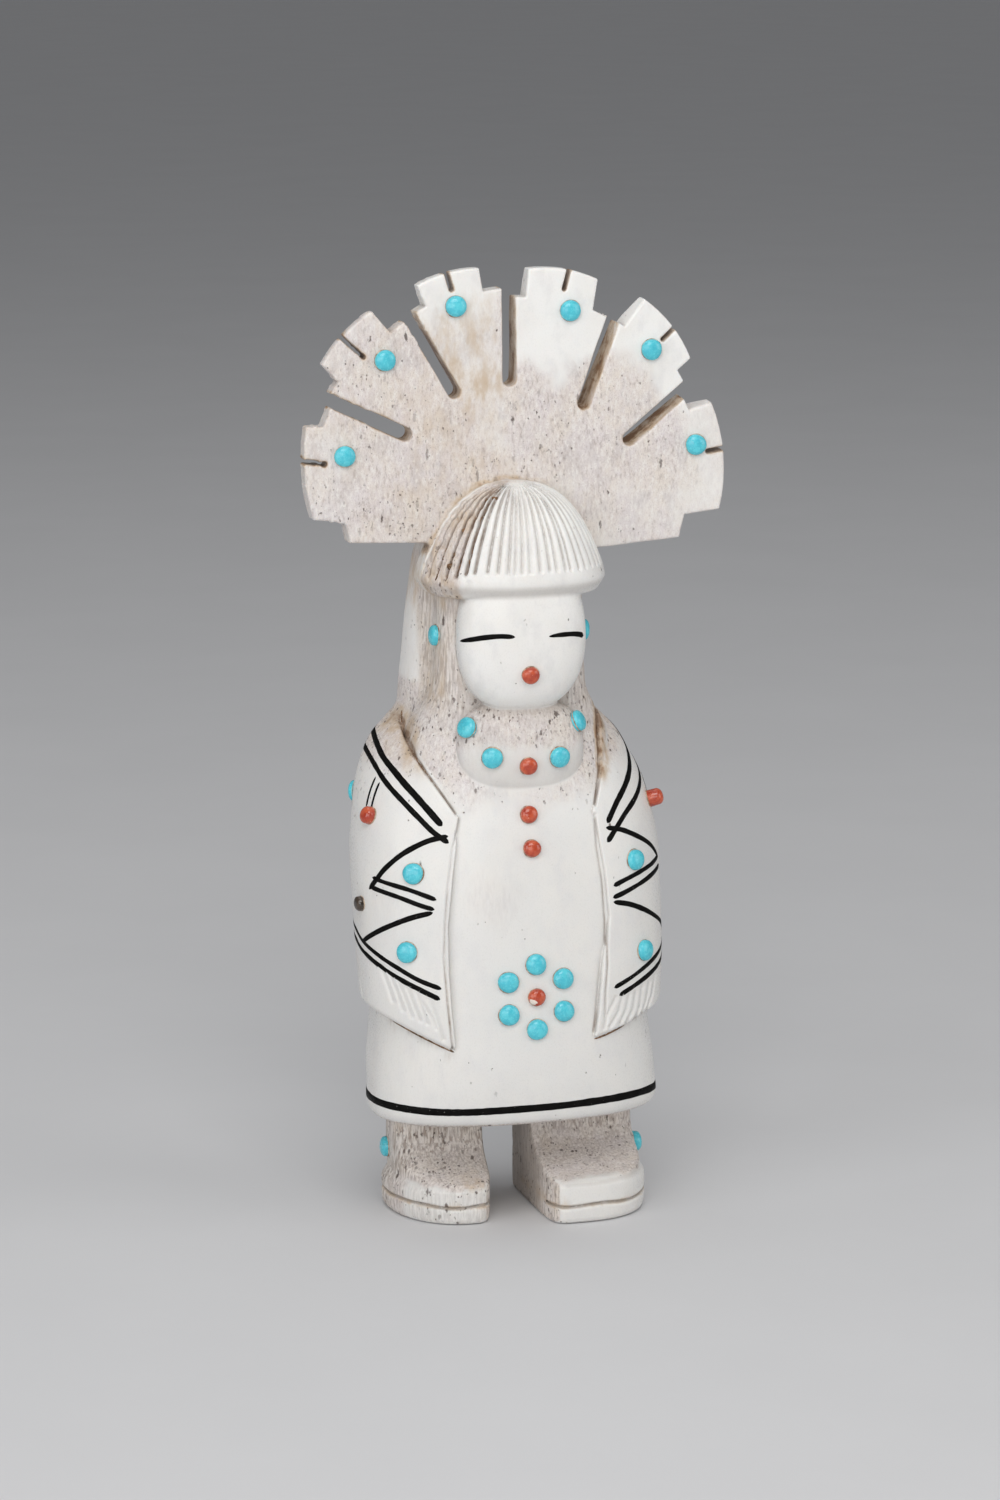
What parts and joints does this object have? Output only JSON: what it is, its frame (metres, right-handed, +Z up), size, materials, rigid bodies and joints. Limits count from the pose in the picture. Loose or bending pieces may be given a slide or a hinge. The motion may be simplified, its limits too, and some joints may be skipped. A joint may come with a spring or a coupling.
{
  "type": "fetish carving",
  "caption": "Standing maiden figure carved in antler with a stepped fan headdress, a robe over the shoulders and set turquoise, coral and jet dots.",
  "frame": {"origin": "on the ground, under the middle of the bounding box", "axes": "+Z up the figure, +Y from its front to its back; it faces -Y, and its own right arm is at -X"},
  "size_m": [0.0452, 0.0224, 0.1],
  "materials": {
    "antler": "polished off-white antler with porous grey-beige parts",
    "turquoise": "polished",
    "coral": "polished",
    "jet": "polished"
  },
  "bodies": {
    "root": {"antler_carving": "antler", "fan_turquoise_1": "turquoise", "fan_turquoise_2": "turquoise", "fan_turquoise_3": "turquoise", "fan_turquoise_4": "turquoise", "fan_turquoise_5": "turquoise", "fan_turquoise_6": "turquoise", "ear_turquoise_left": "turquoise", "ear_turquoise_right": "turquoise", "mouth_coral": "coral", "necklace_turquoise_1": "turquoise", "necklace_turquoise_2": "turquoise", "necklace_coral": "coral", "necklace_turquoise_3": "turquoise", "necklace_turquoise_4": "turquoise", "chest_coral_upper": "coral", "chest_coral_lower": "coral", "flower_coral": "coral", "sleeve_turquoise_left_upper": "turquoise", "sleeve_turquoise_left_lower": "turquoise", "sleeve_turquoise_right_upper": "turquoise", "sleeve_turquoise_right_lower": "turquoise", "shoulder_coral_left": "coral", "shoulder_coral_right": "coral", "sleeve_jet_left": "jet", "sleeve_jet_right": "jet", "back_turquoise_left_upper": "turquoise", "back_turquoise_left_lower": "turquoise", "back_turquoise_right_upper": "turquoise", "back_turquoise_right_lower": "turquoise", "leg_turquoise_left": "turquoise", "leg_turquoise_right": "turquoise", "flower_turquoise_1": "turquoise", "flower_turquoise_2": "turquoise", "flower_turquoise_3": "turquoise", "flower_turquoise_4": "turquoise", "flower_turquoise_5": "turquoise", "flower_turquoise_6": "turquoise"}
  },
  "joints": []
}
